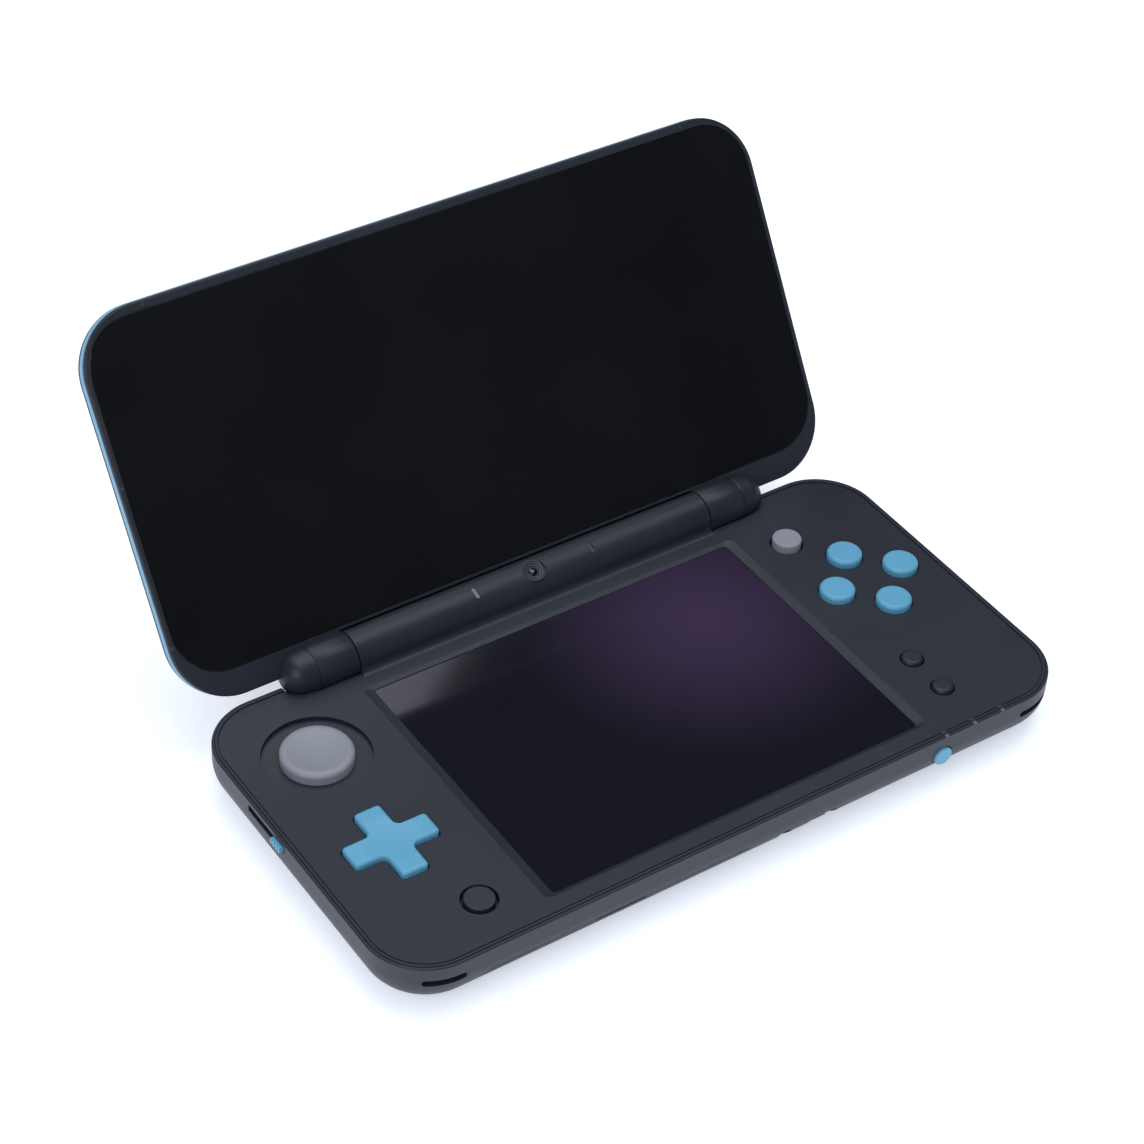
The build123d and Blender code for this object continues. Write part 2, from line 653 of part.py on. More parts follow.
def circle_pad_module():
    half = 12.4
    low = KEY_BOARD_Z - 1.8
    top = DECK_UNDER_Z - 0.3
    case = block(LEFT_X - half, LEFT_X + half, PAD_Y - half, PAD_Y + half, low, top)
    case = fillet(case.edges().filter_by(Axis.Z), 2.0)
    room = block(LEFT_X - half + 0.5, LEFT_X + half - 0.5, PAD_Y - 8.15, PAD_Y + 8.15,
                 KEY_TOP_Z + 0.5, top + 1)
    return case - room


def dpad():
    top = DECK_Z + DPAD_RISE
    low = DECK_UNDER_Z - 1.6
    cross = fillet(top_edges(dpad_cross(0, low, top)), DPAD_EDGE_R)
    flange = dpad_cross(0.8, low, low + 0.75)
    dish = Pos(LEFT_X, DPAD_Y, top - DPAD_DISH + DPAD_DISH_R) * Sphere(DPAD_DISH_R)
    socket_room = Pos(LEFT_X, DPAD_Y, dpad_pivot_z()) * Sphere(DPAD_BALL_R + 0.05)
    return cross + flange - dish - socket_room


def dpad_pivot_z():
    return KEY_TOP_Z + MEMBRANE_T + 0.75


def dpad_rocker():
    """Pivot under the cross that bears on the middle of the membrane."""
    z = dpad_pivot_z()
    puck = disc(LEFT_X, DPAD_Y, z - 0.35, z + 0.05, 3.0)
    foot = Pos(LEFT_X, DPAD_Y, z - 0.5) * Cone(0.8, 2.0, 0.3)
    return puck + foot + Pos(LEFT_X, DPAD_Y, z) * Sphere(DPAD_BALL_R)


def dpad_membrane():
    reach = DPAD_SPAN / 2 - 2.6
    spots = [(LEFT_X - reach, DPAD_Y), (LEFT_X + reach, DPAD_Y),
             (LEFT_X, DPAD_Y - reach), (LEFT_X, DPAD_Y + reach)]
    return button_membrane(spots, LEFT_X - 9, LEFT_X + 9, DPAD_Y - 9, DPAD_Y + 9, 1.9)


def face_membrane():
    reach = FACE_PITCH + 5.2
    return button_membrane(face_spots(), FACE_X - reach, FACE_X + 12.0, FACE_Y - reach,
                           FACE_Y + reach, 2.6)


def small_membrane():
    spots = [(SMALL_X, START_Y), (SMALL_X, SELECT_Y)]
    return button_membrane(spots, SMALL_X - 4.5, SMALL_X + 4.5, SELECT_Y - 4.5, START_Y + 4.5, 1.7)


def home_membrane():
    return button_membrane([(HOME_X, HOME_Y)], HOME_X - 4.6, HOME_X + 4.6, HOME_Y - 4.6,
                           HOME_Y + 4.6, 2.2)


def nub():
    body = disc(SMALL_X, NUB_Y, DECK_UNDER_Z - 1, DECK_Z + NUB_RISE, NUB_R)
    return fillet(top_edges(body), 0.45)


def power_button():
    face = FRONT_Y + wall_setback(POWER_Z) - POWER_PROUD
    cap = rod_y(face, FRONT_Y + 4.0, POWER_X, POWER_Z, POWER_R)
    cap = fillet(cap.faces().sort_by(Axis.Y)[0].edges(), 0.35)
    y0 = FRONT_Y + WALL + 1.6
    return cap + rod_y(y0, y0 + 0.7, POWER_X, POWER_Z, POWER_R + 0.5)


def wall_setback(z):
    """How far the rounded wall lies behind the front edge at a height."""
    below = max(0.0, ROUND_Z - z)
    return BOTTOM_ROUND - sqrt(BOTTOM_ROUND ** 2 - below ** 2)


def volume_knob():
    x0 = -HALF_W - VOLUME_PROUD
    knob = block(x0, -HALF_W + 2.2, VOLUME_Y - VOLUME_KNOB_LEN / 2,
                 VOLUME_Y + VOLUME_KNOB_LEN / 2, VOLUME_Z - VOLUME_SLOT_H / 2 + 0.1,
                 VOLUME_Z + VOLUME_SLOT_H / 2 - 0.1)
    for step in (-1, 0, 1):
        groove_y = VOLUME_Y + step * 1.0
        knob -= block(x0 - 0.1, x0 + 0.25, groove_y - 0.2, groove_y + 0.2, VOLUME_Z - 2,
                      VOLUME_Z + 2)
    half = VOLUME_PLATE_LEN / 2
    plate = block(-HALF_W + WALL + 0.3, -HALF_W + WALL + 0.9, VOLUME_Y - half, VOLUME_Y + half,
                  VOLUME_Z - 1.6, VOLUME_Z + VOLUME_SLOT_H / 2 - 0.1)
    return knob + plate


def shoulder_button():
    """Corner button with an arm that reaches in to its pivot post."""
    cap = shoulder_zone(0, SHOULDER_T, SHOULDER_PROUD)
    arm = block(SHOULDER_PIVOT_X, SHOULDER_PIVOT_X + 2.2, SHOULDER_PIVOT_Y, HALF_D - 1.0,
                SHOULDER_HUB_Z0, SHOULDER_HUB_Z1)
    hub = disc(SHOULDER_PIVOT_X, SHOULDER_PIVOT_Y, SHOULDER_HUB_Z0, SHOULDER_HUB_Z1,
               SHOULDER_PIN_R + 0.7)
    hole = disc(SHOULDER_PIVOT_X, SHOULDER_PIVOT_Y, 0, DECK_Z, SHOULDER_PIN_R + PIN_CLEAR)
    return cap + arm + hub - hole


def trigger_button():
    body = trigger_zone(0, HALF_D - TRIGGER_T, HALF_D + TRIGGER_PROUD)
    return fillet(body.faces().sort_by(Axis.Y)[-1].edges(), 0.5)


def card_door():
    hinge_y, hinge_z = door_axis()
    door = door_body(0)
    mid_x = (DOOR_X0 + DOOR_X1) / 2
    edge = radians(DOOR_TOP_DEG)
    edge_y = ROUND_Y - BOTTOM_ROUND * cos(edge)
    edge_z = ROUND_Z - BOTTOM_ROUND * sin(edge)
    nail = rod_x(mid_x - DOOR_NOTCH_W / 2, mid_x + DOOR_NOTCH_W / 2, edge_y, edge_z, 0.45)
    pins = rod_x(DOOR_X0 - DOOR_PIN_LEN, DOOR_X1 + DOOR_PIN_LEN, hinge_y, hinge_z, DOOR_PIN_R)
    return door - nail + pins


def socket(mid_x, width, thick, depth, wall, z0):
    """Cage for a card, with its mouth towards the door."""
    case = block(mid_x - width / 2 - 1, mid_x + width / 2 + 1, SOCKET_Y,
                 SOCKET_Y + depth + 1.2, z0, z0 + thick + 2 * wall)
    room = block(mid_x - width / 2, mid_x + width / 2, SOCKET_Y - 1, SOCKET_Y + depth,
                 z0 + wall, z0 + wall + thick)
    return case - room


def card_sockets():
    game = socket(CARD_X, CARD_W, CARD_T, CARD_DEPTH, CARD_WALL, FLOOR_Z + 0.15)
    memory = socket(MEMORY_X, MEMORY_W, MEMORY_T, MEMORY_DEPTH, MEMORY_WALL, FLOOR_Z + 0.9)
    return [game, memory]


def jack_mouth():
    return FRONT_Y + wall_setback(JACK_Z) + 0.15


def jack_body(grow):
    return block(JACK_X - 3.4 - grow, JACK_X + 3.4 + grow, SOCKET_Y - grow,
                 jack_mouth() + JACK_LEN + grow, JACK_SEAT_Z, JACK_Z + 2.7)


def headphone_jack():
    barrel = rod_y(FRONT_Y, SOCKET_Y + 0.5, JACK_X, JACK_Z, JACK_R) & shell_outside()
    bore = rod_y(FRONT_Y - 1, jack_mouth() + JACK_LEN - 1, JACK_X, JACK_Z, JACK_BORE_R)
    return barrel + jack_body(0) - bore


def stylus():
    """Pen with a tapered nib at the rear and a nail ledge on its front end."""
    front = FRONT_Y + STYLUS_NOTCH_DEPTH - 2.4
    tip = stylus_tube_end() - 1.5
    shaft = rod_y(front, tip - 7, STYLUS_X, STYLUS_Z, STYLUS_R) & shell_outside()
    nib = Pos(STYLUS_X, tip - 3.5, STYLUS_Z) * Rot(-90, 0, 0) * Cone(STYLUS_R, 0.8, 7)
    nail = block(STYLUS_X - 3, STYLUS_X + 3, front + 1, front + 2, STYLUS_Z + 1.3, STYLUS_Z + 4)
    return shaft + nib - nail


def stylus_tube_end():
    return FRONT_Y + wall_setback(STYLUS_Z) + STYLUS_LEN + 1.5


def stylus_tube():
    """Moulded sleeve that guides the stylus under the screen."""
    y0 = SOCKET_Y + 0.8
    y1 = stylus_tube_end()
    outer = rod_y(y0, y1, STYLUS_X, STYLUS_Z, STYLUS_R + STYLUS_GAP + 0.5)
    inner = rod_y(y0 - 1, y1 - 0.8, STYLUS_X, STYLUS_Z, STYLUS_R + STYLUS_GAP)
    return (outer - inner) & block(STYLUS_X - 9, STYLUS_X + 9, y0, y1, FLOOR_Z + 0.05,
                               CHASSIS_Z - 0.35)


def stylus_notch():
    """Round-cornered notch in the front edge, open below, round the stylus's end."""
    width = STYLUS_NOTCH_X1 - STYLUS_NOTCH_X0
    shape = RectangleRounded(width, 2 * STYLUS_NOTCH_TOP, STYLUS_NOTCH_R)
    place = Pos((STYLUS_NOTCH_X0 + STYLUS_NOTCH_X1) / 2, FRONT_Y + STYLUS_NOTCH_DEPTH, 0)
    return place * Rot(90, 0, 0) * extrude(shape, STYLUS_NOTCH_DEPTH + 1)


def port_opening():
    half = PORT_W / 2
    return block(-half, half, HALF_D - 6, HALF_D + 1, PORT_Z, PORT_Z + PORT_H)


def charge_port():
    """Charging socket with its contact tongue."""
    half = PORT_W / 2 - 0.1
    z0 = PORT_Z + 0.1
    z1 = PORT_Z + PORT_H - 0.1
    case = block(-half, half, HALF_D - 6.6, HALF_D, z0, z1) & shell_outside()
    room = block(-half + 0.7, half - 0.7, HALF_D - 5, HALF_D + 1, z0 + 0.5, z1 - 0.5)
    tongue = block(-half + 2, half - 2, HALF_D - 5.5, HALF_D - 2.2, z0 + 1.1, z0 + 1.6)
    return case - room + tongue


def light_pipe(x):
    """Slim clear bar let into the front rim."""
    return block(x - LIGHT_W / 2, x + LIGHT_W / 2, FRONT_Y + 0.05, FRONT_Y + LIGHT_LEN,
                 DECK_Z - 2.4, DECK_Z + 0.02)


def light_pipes():
    """Three bars in the front rim and the camera light in the barrel."""
    return [light_pipe(x) for x in LIGHT_XS] + [side_fitting(-SIDE_FITTING_X)]


def speaker(side):
    x = side * (HALF_W - SPEAKER_INSET)
    y = FRONT_Y + SPEAKER_FRONT
    z1 = KEY_TOP_Z
    frame = block(x - SPEAKER_W / 2, x + SPEAKER_W / 2, y - SPEAKER_D / 2, y + SPEAKER_D / 2,
                  z1 - SPEAKER_T, z1)
    frame = fillet(frame.edges().filter_by(Axis.Z), 1.5)
    pan = block(x - SPEAKER_W / 2 + 1, x + SPEAKER_W / 2 - 1, y - SPEAKER_D / 2 + 1,
                y + SPEAKER_D / 2 - 1, z1 - 0.4, z1 + 1)
    return frame - pan + disc(x, y, z1 - 0.7, z1 - 0.1, 2.4)


def speaker_space(side):
    """Part of the key board's outline that the speaker takes up."""
    x0 = HALF_W - SPEAKER_INSET - SPEAKER_W / 2 - 0.4
    y1 = FRONT_Y + SPEAKER_FRONT + SPEAKER_D / 2 + 0.4
    space = block(x0, HALF_W, FRONT_Y, y1, 0, DECK_Z)
    return space if side > 0 else mirror(space, Plane.YZ)


def speaker_mesh(side):
    """Fine mesh strip behind the speaker slot."""
    ring = base_outline(WALL + 0.2, SPEAKER_SLOT_Z - 1.2, SPEAKER_SLOT_Z + 1.2)
    ring -= base_outline(WALL + 0.5, 0, DECK_Z)
    reach = block(SPEAKER_SLOT_X0 - 1, SPEAKER_SLOT_X1 + 0.6, FRONT_Y, FRONT_Y + 7, 0, DECK_Z)
    strip = ring & reach
    return strip if side > 0 else mirror(strip, Plane.YZ)


def touch_panel():
    return slab(SCREEN_W + 2 * PANEL_OVERLAP, SCREEN_D + 2 * PANEL_OVERLAP, 1.2,
                PANEL_Z - PANEL_T, PANEL_Z, SCREEN_Y)


def lower_lcd():
    z1 = PANEL_Z - PANEL_T
    return slab(SCREEN_W + 1.5, SCREEN_D + 1.5, 0.8, LCD_Z, z1, SCREEN_Y)


def screen_chassis():
    """Pressed metal tray under the lower screen."""
    width = SCREEN_W + 2 * PANEL_OVERLAP
    depth = SCREEN_D + 2 * PANEL_OVERLAP - 4.0
    tray = slab(width, depth, 1.5, CHASSIS_Z, CHASSIS_Z + CHASSIS_T, SCREEN_Y)
    for x in (-30, 0, 30):
        tray -= slab(14, 24, 3, 0, DECK_Z, SCREEN_Y + 12).moved(Location((x, 0, 0)))
    return tray


def mainboard():
    board = block(-46, 12.5, 1.5, 33.5, KEY_BOARD_Z, KEY_BOARD_Z + KEY_BOARD_T)
    shield = block(-36, -12, 8, 28, KEY_BOARD_Z - 1.4, KEY_BOARD_Z)
    chip = block(-6, 6, 10, 22, KEY_BOARD_Z - 1.1, KEY_BOARD_Z)
    return board + shield + chip


def wireless_board():
    board = block(-22, -2, 15, 27, KEY_TOP_Z, KEY_TOP_Z + 0.4)
    return board + block(-18, -6, 17.5, 24.5, KEY_TOP_Z + 0.4, KEY_TOP_Z + 0.7)


def battery():
    body = block(23, 44.5, -32, 26, FLOOR_Z + 0.2, FLOOR_Z + 5.0)
    return fillet(body.edges().filter_by(Axis.Y), 1.2)


def key_board(side):
    """Narrow circuit board under the controls on one side."""
    if side < 0:
        x0, x1, y1 = -HALF_W + 5.6, -HALF_W + 31.0, PAD_Y - 13.0
    else:
        x0, x1, y1 = HALF_W - 31.0, HALF_W - 4.6, FACE_Y + FACE_PITCH + 6.5
    board = block(x0, x1, FRONT_Y + 6.5, y1, KEY_BOARD_Z, KEY_TOP_Z)
    for x, y in screw_spots():
        board -= disc(x, y, 0, DECK_Z, POST_R + 0.3)
    return board - speaker_space(side)


def nub_sensor():
    board = block(SMALL_X - 5.5, SMALL_X + 5.5, NUB_Y - 3.2, NUB_Y + 6.5, KEY_BOARD_Z, KEY_TOP_Z)
    post = disc(SMALL_X, NUB_Y, KEY_TOP_Z, DECK_UNDER_Z - 1, 1.6)
    return board + post


def inner_camera():
    """Camera block in the barrel's bore, with its lens tube up to the window."""
    body = block(-2.4, 2.4, -2.4, 2.4, -4.4, -2.65)
    lens = disc(0, 0, -2.7, -CAMERA_RECESS, CAMERA_LENS_R)
    return on_barrel(body + lens, 0, CAMERA_DEG)


def camera_window():
    """Dark clear disc at the bottom of the camera recess."""
    pane = disc(0, 0, -CAMERA_RECESS, -CAMERA_RECESS + 0.3, CAMERA_R - 0.03)
    return on_barrel(pane, 0, CAMERA_DEG)


def side_fitting(x):
    """Oblong plug that fills one of the two small slots beside the camera."""
    plug = extrude(SlotOverall(2.6, 1.0, rotation=90), 1.15)
    return on_barrel(plug.moved(Location((0, 0, -1.4))), x, CAMERA_DEG)


def outer_camera(x):
    """Domed lens at the bottom of its recess in the barrel."""
    lens = disc(0, 0, -OUTER_CAMERA_RECESS, -OUTER_CAMERA_RECESS + 0.4, OUTER_CAMERA_R)
    lens = fillet(top_edges(lens), 0.2)
    return on_barrel(lens, x, OUTER_CAMERA_DEG)


def hinge_cartridge(side):
    """Friction unit held in the barrel's end."""
    x0 = BARREL_HALF - CARTRIDGE_LEN
    tube = rod_x(x0, BARREL_HALF - 0.1, AXIS_Y, AXIS_Z, BARREL_BORE_R - 0.05)
    tube -= rod_x(x0 - 1, BARREL_HALF + 1, AXIS_Y, AXIS_Z, SHAFT_R + SHAFT_CLEAR)
    return tube if side > 0 else mirror(tube, Plane.YZ)


def hinge_shaft(side):
    x1 = KNUCKLE_X0 + 8.0
    shaft = rod_x(x1 - SHAFT_LEN, x1, AXIS_Y, AXIS_Z, SHAFT_R)
    return shaft if side > 0 else mirror(shaft, Plane.YZ)


def barrel_cable():
    """Display cable, rolled inside the barrel, with its tail to the mainboard."""
    roll = rod_x(-31, -19, AXIS_Y, AXIS_Z, 2.6) - rod_x(-32, -18, AXIS_Y, AXIS_Z, 2.2)
    return roll


def case_screws():
    screws = []
    for x, y in screw_spots():
        z0 = SCREW_SEAT_Z - SCREW_HEAD_T
        head = disc(x, y, z0, SCREW_SEAT_Z, SCREW_HEAD_R)
        cross = Box(2.2, 0.5, 0.9) + Box(0.5, 2.2, 0.9)
        head -= Pos(x, y, z0) * cross
        screws.append(head + disc(x, y, SCREW_SEAT_Z - 0.2, DECK_UNDER_Z - 0.2, SCREW_R))
    return screws


def rubber_feet():
    feet = []
    for x in (-1, 1):
        for y in (-1, 1):
            foot = disc(x * FOOT_X, y * FOOT_Y, -FOOT_PROUD, FOOT_SEAT, FOOT_R)
            feet.append(fillet(bottom_edges(foot), FOOT_PROUD * 0.7))
    return feet


def near_field_antenna():
    outer = slab(60, 40, 3, CHASSIS_Z - 0.25, CHASSIS_Z - 0.05, SCREEN_Y - 8)
    return outer - slab(50, 30, 2, 0, DECK_Z, SCREEN_Y - 8)


# ---- lid, drawn flat: Y up the lid from the hinge axis, Z out of its inner face ----
def stand(shape):
    """Turn a flat lid piece to the angle at which the lid stands."""
    return Pos(0, AXIS_Y, AXIS_Z) * Rot(180 - LID_OPEN_DEG, 0, 0) * shape


def lid_outline(inset, z0, z1):
    height = LID_H - LID_FOOT
    return slab(LID_W - 2 * inset, height - 2 * inset, CORNER_R - inset, z0, z1,
                LID_FOOT + height / 2)


def lid_block():
    body = lid_outline(0, LID_BACK, LID_FACE)
    body = fillet(bottom_edges(body), LID_BACK_ROUND)
    return fillet(top_edges(body), LID_FACE_ROUND)


def barrel_cutout():
    half = KNUCKLE_X0
    reach = BARREL_R + 0.4
    return block(-half, half, -10, reach, -BARREL_R - LIP_GAP, LID_FACE + 5)


def glass_slab(grow, z0, z1):
    return slab(GLASS_W + 2 * grow, GLASS_H + 2 * grow, GLASS_CORNER_R + grow, z0, z1, GLASS_MID)


def lid_frame_z():
    return LID_FACE - LID_FRAME_T


def lid_back_z():
    return lid_frame_z() - LID_RIM_T


def flat_knuckle():
    """Right-hand knuckle in the lid's own flat frame."""
    return Rot(LID_OPEN_DEG - 180, 0, 0) * Pos(0, -AXIS_Y, -AXIS_Z) * knuckle_shape(0)


def lid_frame():
    """Inner bezel, with the two knuckles moulded on."""
    body = lid_block() & block(-BASE_W, BASE_W, -9, BASE_D + 9, lid_frame_z(), LID_FACE + 1)
    inner = lid_outline(LID_WALL + 0.9, lid_back_z() - 1.0, lid_frame_z())
    skirt = inner - lid_outline(LID_WALL + 1.9, lid_back_z() - 2, lid_frame_z() + 1)
    skirt -= block(-KNUCKLE_X1 - 2.2, KNUCKLE_X1 + 2.2, -9, BARREL_R + 2.0, lid_back_z() - 3,
                   lid_frame_z())
    body += skirt
    body -= barrel_cutout()
    web = block(KNUCKLE_X0, KNUCKLE_X0 + WEB_LEN, 0.3, BARREL_R + 1, -3.2, lid_frame_z())
    shaft = rod_x(0, KNUCKLE_X0 + 8.0, 0, 0, SHAFT_R)
    body += both_sides(flat_knuckle() + web)
    body -= both_sides(shaft)
    body -= glass_slab(GLASS_FIT, LID_FACE - GLASS_DROP - GLASS_T - 0.05, LID_FACE + 1)
    opening = slab(UPPER_LCD_W - 2, UPPER_LCD_H - 2, 2, LID_BACK, LID_FACE + 1, GLASS_MID)
    return body - opening


def lid_glass():
    top = LID_FACE - GLASS_DROP
    pane = glass_slab(0, top - GLASS_T, top)
    return fillet(top_edges(pane), 0.12)


def lid_rim():
    """Coloured band sandwiched between the bezel and the back cover."""
    z0 = lid_back_z()
    z1 = lid_frame_z()
    band = lid_block() & block(-BASE_W, BASE_W, -9, BASE_D + 9, z0, z1)
    band -= lid_outline(LID_WALL - 0.15, z0 - 1, z1 + 1)
    return band - barrel_cutout() - knuckle_room()


def knuckle_room():
    """Space that the rim and back cover leave round the knuckles."""
    length = KNUCKLE_X1 - KNUCKLE_X0 + 0.3
    room = rod_x(KNUCKLE_X0 - 0.3, KNUCKLE_X0 + length, 0, 0, BARREL_R + 0.1)
    web = block(KNUCKLE_X0 - 0.1, KNUCKLE_X0 + WEB_LEN + 0.1, -9, BARREL_R + 1.1, -3.3, LID_FACE)
    return both_sides(room + web)


def lid_back_cover():
    z1 = lid_back_z()
    body = lid_block() & block(-BASE_W, BASE_W, -9, BASE_D + 9, LID_BACK - 1, z1)
    hollow = lid_outline(LID_WALL - 0.15, LID_BACK + LID_WALL, z1 + 1)
    hollow = fillet(bottom_edges(hollow), LID_BACK_ROUND - LID_WALL)
    body -= hollow
    wall = block(-KNUCKLE_X1 - 2, KNUCKLE_X1 + 2, 0, BARREL_R + 1.8, LID_BACK + 0.4, z1)
    body += wall & (lid_block() & block(-BASE_W, BASE_W, -9, BASE_D, LID_BACK - 1, z1))
    body -= barrel_cutout()
    body -= knuckle_room()
    return body - back_panel_seat()


def back_panel_shape(grow, z0, z1):
    inset = LID_BACK_ROUND + 0.6 - grow
    y0 = BARREL_R + 4.5 - grow
    height = LID_H - inset - y0
    return slab(LID_W - 2 * inset, height, CORNER_R - inset, z0, z1, y0 + height / 2)


def back_panel_seat():
    return back_panel_shape(SEAM, LID_BACK - 1, LID_BACK + BACK_PANEL_T)


def lid_back_panel():
    """Ribbed outer plate let into the back cover."""
    return back_panel_shape(0, LID_BACK, LID_BACK + BACK_PANEL_T)


def upper_lcd():
    z1 = LID_FACE - GLASS_DROP - GLASS_T - 0.1
    return slab(UPPER_LCD_W - 2.4, UPPER_LCD_H - 2.4, 1.6, z1 - UPPER_LCD_T, z1, GLASS_MID)


def lid_chassis():
    z1 = LID_FACE - GLASS_DROP - GLASS_T - 0.2 - UPPER_LCD_T
    plate = slab(UPPER_LCD_W + 12, UPPER_LCD_H - 4, 3, z1 - 0.4, z1, GLASS_MID)
    for x in (-40, 0, 40):
        plate -= slab(20, 40, 4, LID_BACK, LID_FACE, GLASS_MID).moved(Location((x, 0, 0)))
    return plate


def lid_cable():
    """Flat cable from the upper screen down to the left knuckle."""
    z1 = LID_FACE - GLASS_DROP - GLASS_T - 0.2 - UPPER_LCD_T - 0.6
    return block(-58, -48, BARREL_R + 2.4, GLASS_MID, z1 - 0.15, z1)


def lid_bumpers():
    spots = []
    for side in (-1, 1):
        spots += [(side * (LID_W / 2 - 0.75), 14.0), (side * (LID_W / 2 - 0.75), 47.0),
                  (side * 63.6, LID_H - 1.0)]
    bumpers = []
    for x, y in spots:
        bumper = disc(x, y, LID_FACE, LID_FACE + 0.3, 0.4)
        bumpers.append(fillet(top_edges(bumper), 0.2))
    return bumpers


def lid_screws():
    screws = []
    for x in (-64, 64):
        for y in (12, LID_H - 10):
            head = disc(x, y, LID_BACK + LID_WALL + 0.3, LID_BACK + LID_WALL + 1.1, 1.6)
            screws.append(head + disc(x, y, LID_BACK + LID_WALL + 1.0, lid_frame_z() - 0.1, 0.8))
    return screws


def build_parts():
    face_names = ["face_button_left", "face_button_top", "face_button_right", "face_button_bottom"]
    parts = {
        "lower_shell": lower_shell(),
        "upper_deck": upper_deck(),
        "touch_panel": touch_panel(),
        "lower_lcd": lower_lcd(),
        "screen_chassis": screen_chassis(),
        "mainboard": mainboard(),
        "wireless_board": wireless_board(),
        "battery": battery(),
        "key_boards": [key_board(-1), key_board(1)],
        "near_field_antenna": near_field_antenna(),
        "speakers": [speaker(-1), speaker(1)],
        "speaker_meshes": [speaker_mesh(-1), speaker_mesh(1)],
        "circle_pad_cap": circle_pad_cap(),
        "circle_pad_skirt": circle_pad_skirt(),
        "circle_pad_slider": circle_pad_slider(),
        "circle_pad_module": circle_pad_module(),
        "dpad": dpad(),
        "dpad_rocker": dpad_rocker(),
        "home_button": domed_button(HOME_X, HOME_Y, HOME_R, HOME_RISE, 0.25),
        "start_button": domed_button(SMALL_X, START_Y, SMALL_R, SMALL_RISE, 0.75),
        "select_button": domed_button(SMALL_X, SELECT_Y, SMALL_R, SMALL_RISE, 0.75),
        "c_stick_nub": nub(),
        "c_stick_sensor": nub_sensor(),
        "power_button": power_button(),
        "volume_knob": volume_knob(),
        "shoulder_button_right": shoulder_button(),
        "shoulder_button_left": mirror(shoulder_button(), Plane.YZ),
        "trigger_button_right": trigger_button(),
        "trigger_button_left": mirror(trigger_button(), Plane.YZ),
        "card_door": card_door(),
        "card_sockets": card_sockets(),
        "headphone_jack": headphone_jack(),
        "stylus": stylus(),
        "stylus_tube": stylus_tube(),
        "charge_port": charge_port(),
        "inner_camera": inner_camera(),
        "camera_window": camera_window(),
        "microphone": side_fitting(SIDE_FITTING_X),
        "hinge_cartridges": [hinge_cartridge(1), hinge_cartridge(-1)],
        "display_cable_roll": barrel_cable(),
    }
    for name, (x, y) in zip(face_names, face_spots()):
        parts[name] = domed_button(x, y, FACE_R, FACE_RISE, 0.8)
    parts["button_membranes"] = [dpad_membrane(), face_membrane(), small_membrane(),
                                 home_membrane()]
    parts["light_pipes"] = light_pipes()
    parts["outer_cameras"] = [outer_camera(-OUTER_CAMERA_X), outer_camera(OUTER_CAMERA_X)]
    parts["case_screws"] = case_screws()
    parts["rubber_feet"] = rubber_feet()
    lid = {
        "lid_frame": lid_frame(),
        "lid_glass": lid_glass(),
        "lid_rim": lid_rim(),
        "lid_back_cover": lid_back_cover(),
        "lid_back_panel": lid_back_panel(),
        "upper_lcd": upper_lcd(),
        "lid_chassis": lid_chassis(),
        "lid_cable": lid_cable(),
        "lid_screws": lid_screws(),
        "lid_bumpers": lid_bumpers(),
    }
    for name, shape in lid.items():
        if isinstance(shape, list):
            parts[name] = [stand(piece) for piece in shape]
        else:
            parts[name] = stand(shape)
    parts["hinge_shafts"] = [hinge_shaft(1), hinge_shaft(-1)]
    return parts


def write_parts(parts):
    os.makedirs("parts", exist_ok=True)
    for name, shape in parts.items():
        solid = Compound(children=shape) if isinstance(shape, list) else shape
        export_step(solid, f"parts/{name}.step")


write_parts(build_parts())
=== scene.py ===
import json
import math

import bmesh
import bpy
from mathutils import Matrix, Vector


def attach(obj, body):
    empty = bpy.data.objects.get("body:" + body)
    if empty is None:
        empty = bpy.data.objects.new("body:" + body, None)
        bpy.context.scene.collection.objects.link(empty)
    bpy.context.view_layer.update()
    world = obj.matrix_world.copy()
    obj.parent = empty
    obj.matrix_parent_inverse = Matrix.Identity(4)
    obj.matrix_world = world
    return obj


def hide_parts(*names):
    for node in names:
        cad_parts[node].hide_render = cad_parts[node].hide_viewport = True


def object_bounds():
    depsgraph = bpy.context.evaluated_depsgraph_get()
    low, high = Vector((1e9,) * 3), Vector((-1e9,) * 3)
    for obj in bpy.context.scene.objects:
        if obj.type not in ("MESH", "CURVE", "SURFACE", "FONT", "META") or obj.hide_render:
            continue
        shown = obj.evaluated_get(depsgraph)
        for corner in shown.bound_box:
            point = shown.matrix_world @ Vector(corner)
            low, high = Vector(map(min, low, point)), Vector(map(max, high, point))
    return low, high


MM = 0.001

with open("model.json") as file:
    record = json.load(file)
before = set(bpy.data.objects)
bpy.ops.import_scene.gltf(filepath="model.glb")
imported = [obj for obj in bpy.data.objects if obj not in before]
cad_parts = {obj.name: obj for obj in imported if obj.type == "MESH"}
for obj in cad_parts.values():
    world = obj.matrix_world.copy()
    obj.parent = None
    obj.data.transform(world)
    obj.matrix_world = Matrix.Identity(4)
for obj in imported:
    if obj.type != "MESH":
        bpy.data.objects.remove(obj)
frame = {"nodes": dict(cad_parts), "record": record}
nodes = frame["nodes"]
cad_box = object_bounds()


# ---------------------------------------------------------------- materials
def new_material(name):
    mat = bpy.data.materials.new(name)
    mat.use_nodes = True
    shader = mat.node_tree.nodes["Principled BSDF"]
    return mat, mat.node_tree.nodes, mat.node_tree.links, shader


def object_space(tree_nodes, links, stretch=(1, 1, 1)):
    coords = tree_nodes.new("ShaderNodeTexCoord")
    mapping = tree_nodes.new("ShaderNodeMapping")
    mapping.inputs["Scale"].default_value = stretch
    links.new(coords.outputs["Object"], mapping.inputs["Vector"])
    return mapping.outputs["Vector"]


